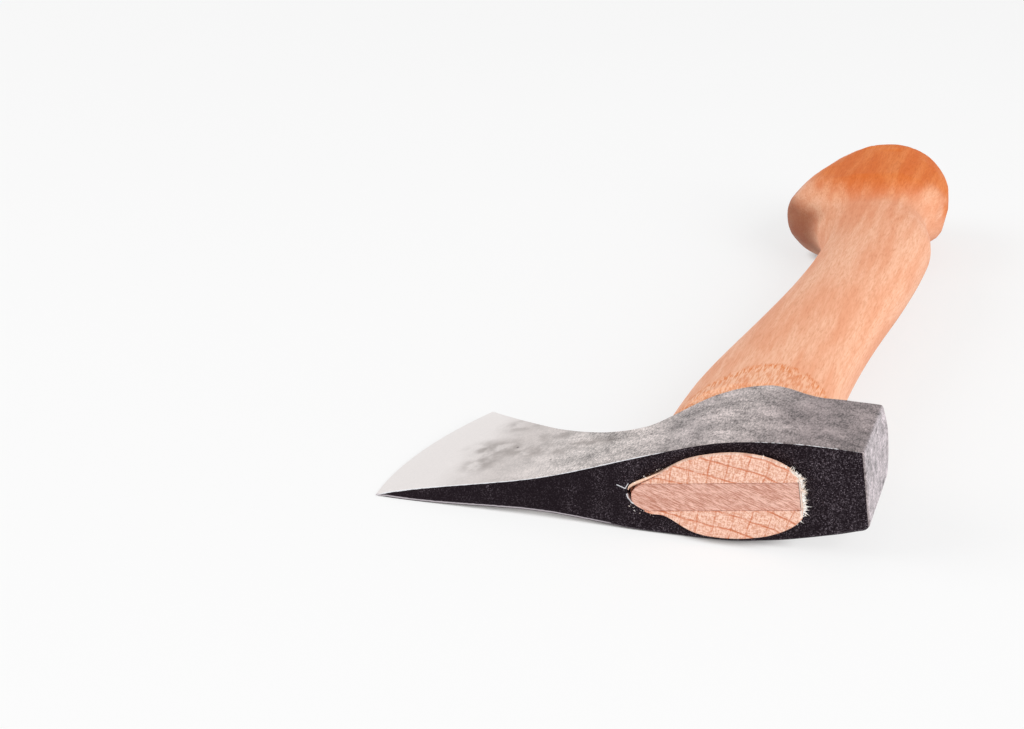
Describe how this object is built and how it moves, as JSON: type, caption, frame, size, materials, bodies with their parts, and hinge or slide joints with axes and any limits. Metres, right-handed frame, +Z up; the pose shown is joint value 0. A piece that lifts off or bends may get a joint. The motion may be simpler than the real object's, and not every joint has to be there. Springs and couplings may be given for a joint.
{
  "type": "hatchet",
  "caption": "Bearded hatchet with a forged steel head, an oval eye, a flat poll and a bowed wooden haft that ends in a knob, held by a wooden wedge.",
  "frame": {"origin": "on the surface that the hatchet lies on, under the middle of its bounding box", "axes": "+Y along the haft from head to knob, +X from the cutting edge to the poll, +Z up"},
  "size_m": [0.1404, 0.3272, 0.0373],
  "materials": {
    "forged_steel": "ground and hammered cheeks, satin towards the edge, dark forge scale on the front face",
    "haft_wood": "oiled beech with short ray flecks",
    "wedge_wood": "bare sawn hardwood"
  },
  "bodies": {
    "root": {"axe_head": "forged_steel", "haft": "haft_wood", "eye_wedge": "wedge_wood"}
  },
  "joints": []
}
